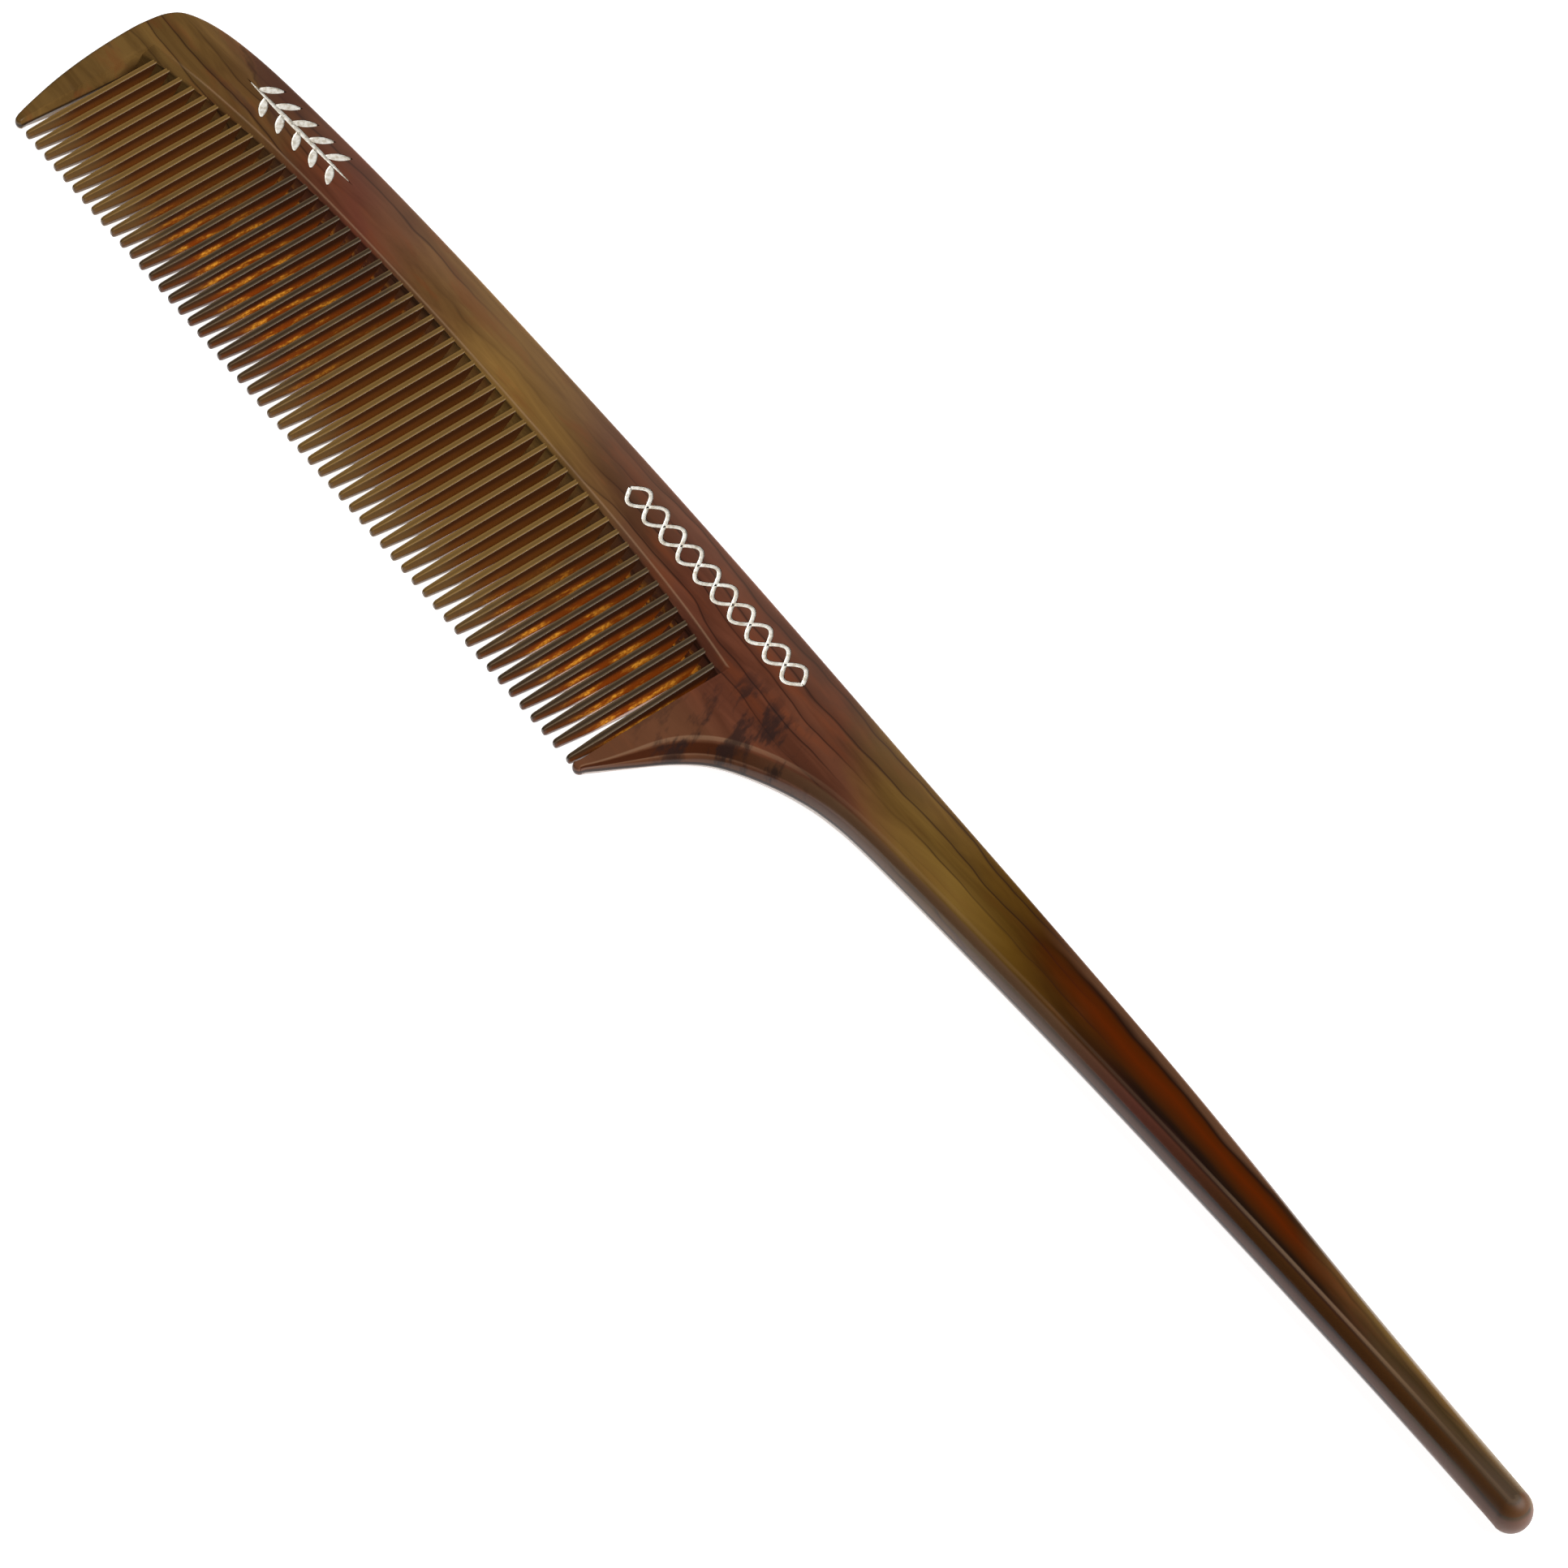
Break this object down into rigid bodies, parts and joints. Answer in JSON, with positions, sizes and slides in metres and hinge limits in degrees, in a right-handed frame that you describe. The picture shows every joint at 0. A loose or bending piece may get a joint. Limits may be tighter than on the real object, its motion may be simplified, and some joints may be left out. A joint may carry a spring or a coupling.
{
  "type": "tail comb",
  "caption": "Slim tail comb: a toothed blade with a gently curved spine and guard tines at both ends runs into a long tapering handle with a round end, for parting and sectioning hair.",
  "frame": {"origin": "middle of the comb's box in plan, at the level of the flat back face it lies on", "axes": "+X along the comb towards the end of the tail, +Y from the tooth tips towards the spine, +Z out of the front face"},
  "size_m": [0.216, 0.0256, 0.004],
  "materials": {
    "tortoiseshell_acetate": "polished, translucent, streaked olive brown to red brown",
    "silver_foil": "satin hot-stamped foil"
  },
  "bodies": {
    "root": {"spine": "tortoiseshell_acetate", "tail": "tortoiseshell_acetate", "toe_guard": "tortoiseshell_acetate", "heel_guard": "tortoiseshell_acetate", "tooth_01": "tortoiseshell_acetate", "tooth_02": "tortoiseshell_acetate", "tooth_03": "tortoiseshell_acetate", "tooth_04": "tortoiseshell_acetate", "tooth_05": "tortoiseshell_acetate", "tooth_06": "tortoiseshell_acetate", "tooth_07": "tortoiseshell_acetate", "tooth_08": "tortoiseshell_acetate", "tooth_09": "tortoiseshell_acetate", "tooth_10": "tortoiseshell_acetate", "tooth_11": "tortoiseshell_acetate", "tooth_12": "tortoiseshell_acetate", "tooth_13": "tortoiseshell_acetate", "tooth_14": "tortoiseshell_acetate", "tooth_15": "tortoiseshell_acetate", "tooth_16": "tortoiseshell_acetate", "tooth_17": "tortoiseshell_acetate", "tooth_18": "tortoiseshell_acetate", "tooth_19": "tortoiseshell_acetate", "tooth_20": "tortoiseshell_acetate", "tooth_21": "tortoiseshell_acetate", "tooth_22": "tortoiseshell_acetate", "tooth_23": "tortoiseshell_acetate", "tooth_24": "tortoiseshell_acetate", "tooth_25": "tortoiseshell_acetate", "tooth_26": "tortoiseshell_acetate", "tooth_27": "tortoiseshell_acetate", "tooth_28": "tortoiseshell_acetate", "tooth_29": "tortoiseshell_acetate", "tooth_30": "tortoiseshell_acetate", "tooth_31": "tortoiseshell_acetate", "tooth_32": "tortoiseshell_acetate", "tooth_33": "tortoiseshell_acetate", "tooth_34": "tortoiseshell_acetate", "tooth_35": "tortoiseshell_acetate", "tooth_36": "tortoiseshell_acetate", "tooth_37": "tortoiseshell_acetate", "tooth_38": "tortoiseshell_acetate", "tooth_39": "tortoiseshell_acetate", "tooth_40": "tortoiseshell_acetate", "tooth_41": "tortoiseshell_acetate", "tooth_42": "tortoiseshell_acetate", "tooth_43": "tortoiseshell_acetate", "tooth_44": "tortoiseshell_acetate", "tooth_45": "tortoiseshell_acetate", "tooth_46": "tortoiseshell_acetate", "tooth_47": "tortoiseshell_acetate", "tooth_48": "tortoiseshell_acetate", "tooth_49": "tortoiseshell_acetate", "tooth_50": "tortoiseshell_acetate", "tooth_51": "tortoiseshell_acetate", "tooth_52": "tortoiseshell_acetate", "tooth_53": "tortoiseshell_acetate", "tooth_54": "tortoiseshell_acetate", "foil_sprig": "silver_foil", "foil_twist": "silver_foil"}
  },
  "joints": []
}
